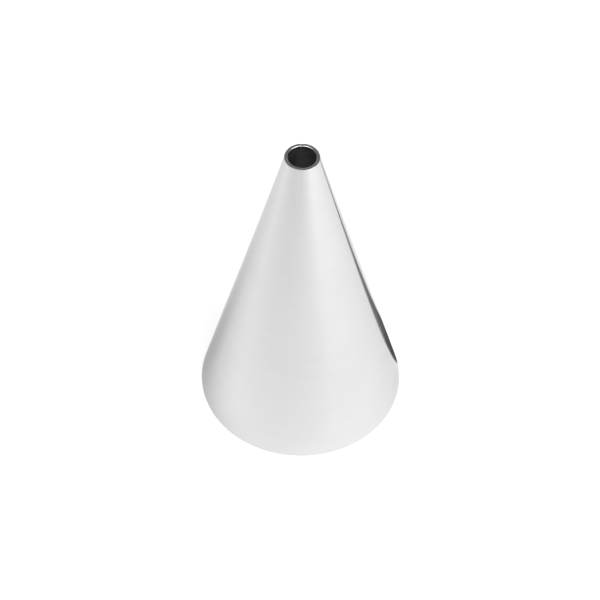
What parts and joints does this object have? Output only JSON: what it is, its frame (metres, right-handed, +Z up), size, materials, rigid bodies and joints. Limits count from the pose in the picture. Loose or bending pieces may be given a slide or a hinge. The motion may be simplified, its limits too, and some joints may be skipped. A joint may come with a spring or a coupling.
{
  "type": "piping nozzle",
  "caption": "Plain round piping nozzle: a hollow polished stainless steel cone, open at both ends, rolled from sheet and closed by a weld down its back.",
  "frame": {"origin": "centre of the base rim, on the surface that the nozzle stands on", "axes": "+Z up the cone's axis to the outlet, +Y towards the seam at the back, +X to the right seen from the front"},
  "size_m": [0.03, 0.03, 0.05],
  "materials": {
    "shell_steel": "bright polished stainless steel with faint polishing lines round the cone",
    "weld_steel": "fused stainless steel bead, dressed almost flush and polished over"
  },
  "bodies": {
    "root": {"cone_shell": "shell_steel", "seam_weld": "weld_steel"}
  },
  "joints": []
}
